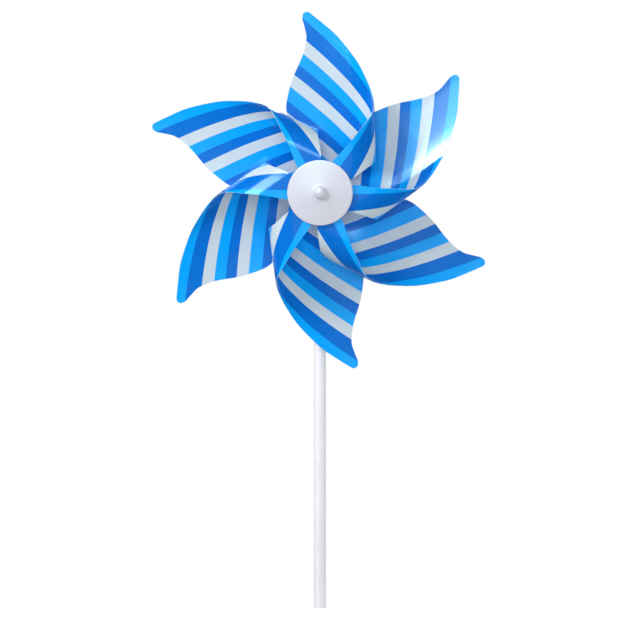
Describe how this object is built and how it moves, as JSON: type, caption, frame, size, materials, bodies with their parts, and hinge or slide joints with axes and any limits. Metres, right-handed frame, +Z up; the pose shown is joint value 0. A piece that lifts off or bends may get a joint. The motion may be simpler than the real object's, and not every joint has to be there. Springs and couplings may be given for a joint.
{
  "type": "pinwheel",
  "caption": "Toy pinwheel: striped, curled film blades on a capped plastic hub that spins freely on an axle at the top of a white tube stick.",
  "frame": {"origin": "middle of the stick's lower end", "axes": "+Z up along the stick, -Y forward along the axle towards the viewer, +X to the viewer's right"},
  "size_m": [0.2263, 0.0697, 0.4071],
  "materials": {
    "blade_film": "gloss printed film, light blue, dark blue and white stripes",
    "cap_plastic": "satin white moulded plastic",
    "hub_plastic": "natural white moulded plastic",
    "stick_plastic": "smooth white extruded tube",
    "washer_plastic": "waxy natural plastic",
    "pin_steel": "drawn wire"
  },
  "bodies": {
    "stick": {"stick_tube": "stick_plastic", "head_plug": "hub_plastic", "axle_pin": "pin_steel", "standoff_sleeve": "hub_plastic", "thrust_washer_rear": "washer_plastic", "thrust_washer_front": "washer_plastic", "rear_retainer": "hub_plastic", "front_knob": "cap_plastic"},
    "wheel": {"blade_1": "blade_film", "blade_2": "blade_film", "blade_3": "blade_film", "blade_4": "blade_film", "blade_5": "blade_film", "blade_6": "blade_film", "hub_core": "hub_plastic", "back_disc": "hub_plastic", "root_ring": "hub_plastic", "hub_spacer": "hub_plastic", "flap_ring": "hub_plastic", "front_disc": "cap_plastic"}
  },
  "joints": [
    {"name": "wheel_spin", "type": "hinge", "parent": "stick", "child": "wheel", "pos_m": [0, -0.0345, 0.285], "axis": [0, -1, 0], "continuous": true}
  ]
}
